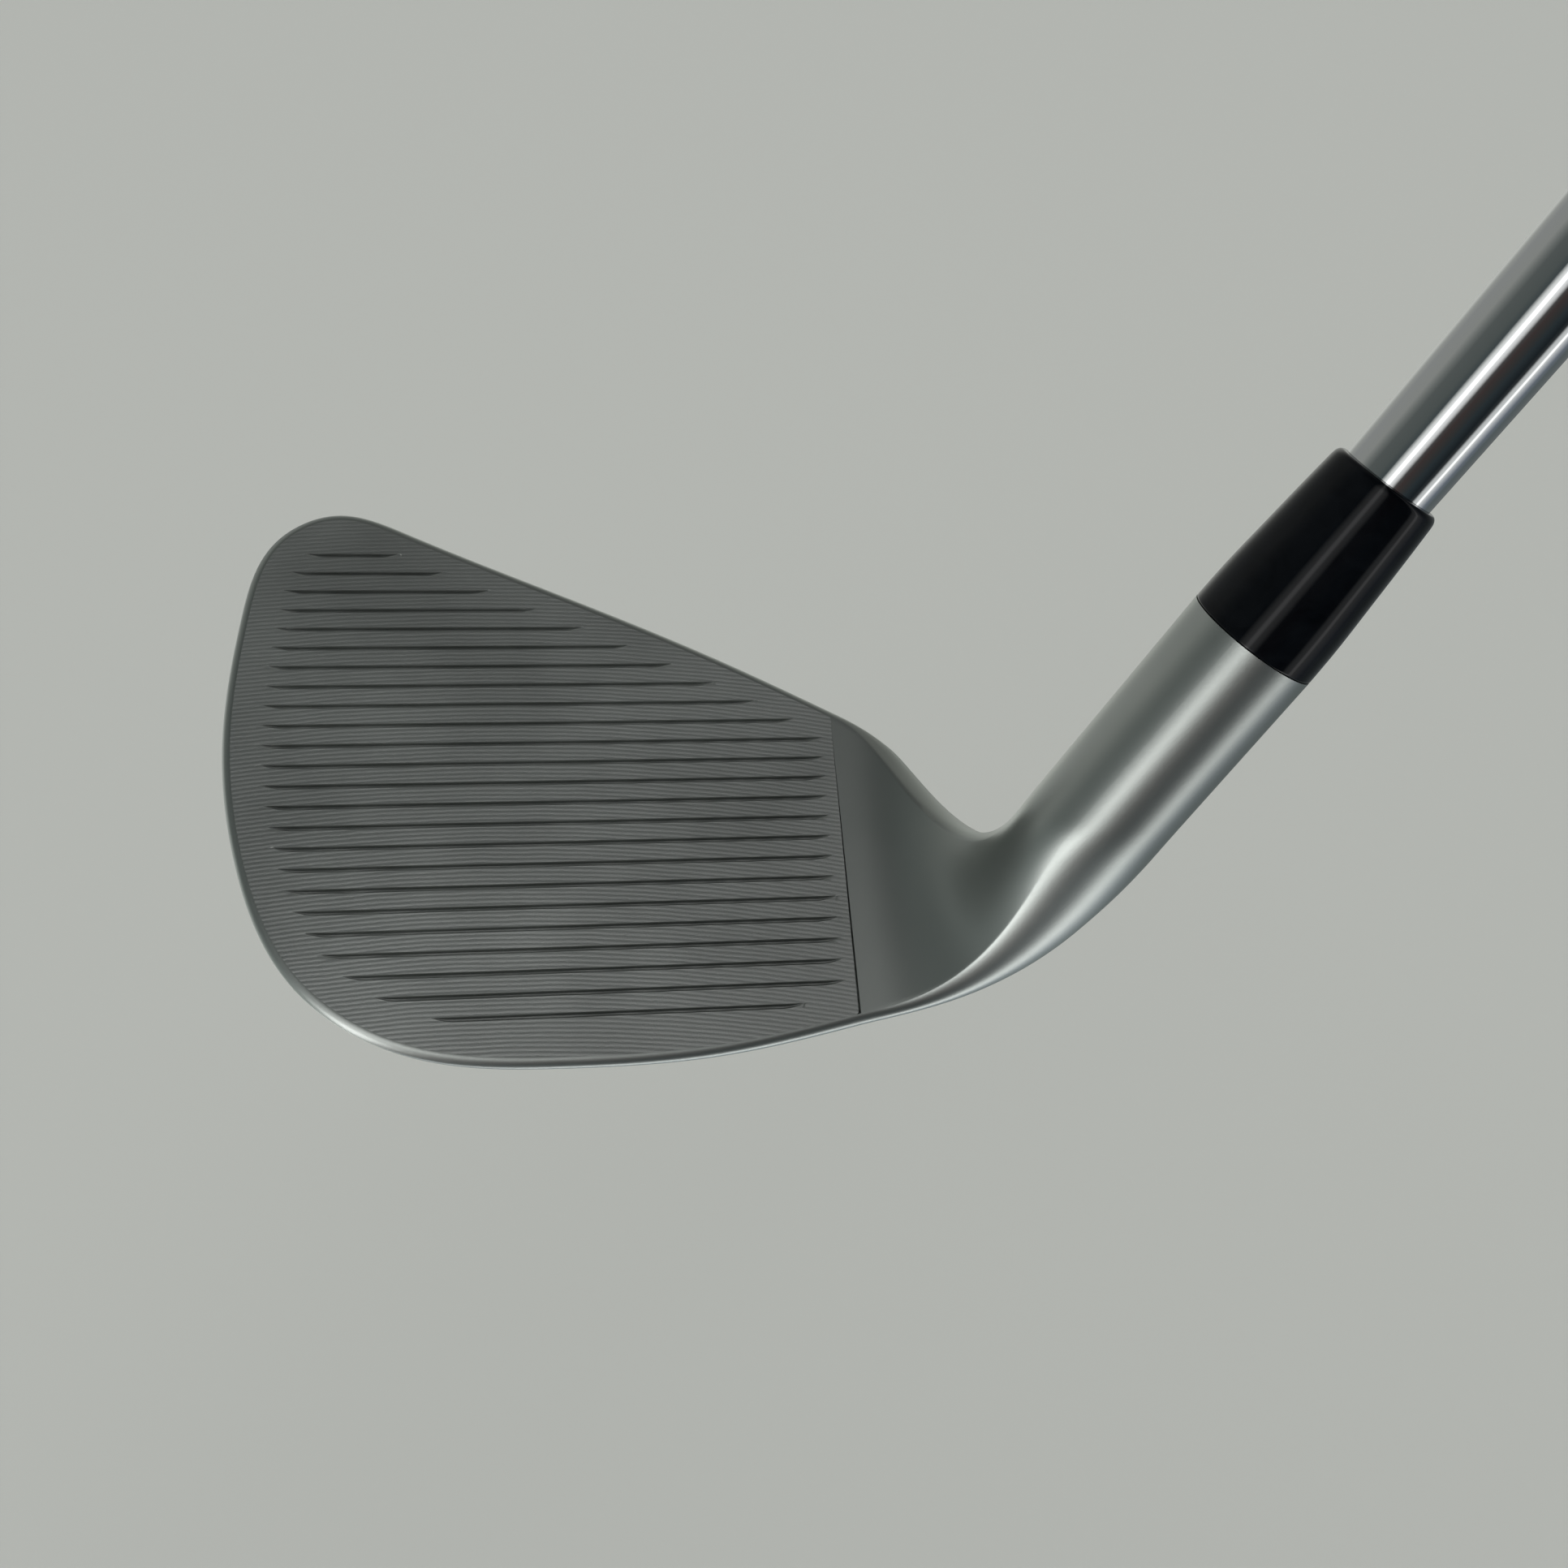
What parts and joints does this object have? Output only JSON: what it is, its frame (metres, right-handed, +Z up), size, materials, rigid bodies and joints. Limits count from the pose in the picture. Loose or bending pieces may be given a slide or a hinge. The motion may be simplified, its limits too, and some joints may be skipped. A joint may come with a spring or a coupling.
{
  "type": "iron golf club",
  "caption": "Right-handed lofted iron golf club: satin steel head with a grooved milled face, angled hosel, black ferrule, stepped chrome shaft and rubber grip.",
  "frame": {"origin": "the point on the ground that the shaft's axis meets when the club stands at address", "axes": "+Z up from the ground; +X from the toe towards the heel, the way the shaft leans; the face looks towards -Y and up"},
  "size_m": [0.5265, 0.0636, 0.7848],
  "materials": {
    "satin_steel": "fine blasted satin plating, milled face",
    "damping_pad": "matt moulded",
    "badge_aluminium": "fine brushed, anodised",
    "epoxy": "cured glue",
    "ferrule_plastic": "turned and polished",
    "chrome_shaft": "mirror plated",
    "plug_brass": "turned",
    "band_film": "plain printed film",
    "tape": "paper-backed tape",
    "grip_rubber": "textured",
    "cap_rubber": "fine matt"
  },
  "bodies": {
    "root": {"head_body": "satin_steel", "cavity_pad": "damping_pad", "cavity_badge": "badge_aluminium", "hosel_glue": "epoxy", "ferrule": "ferrule_plastic", "shaft": "chrome_shaft", "tip_plug": "plug_brass", "shaft_band": "band_film", "grip_tape": "tape", "grip": "grip_rubber", "grip_cap": "cap_rubber"}
  },
  "joints": []
}
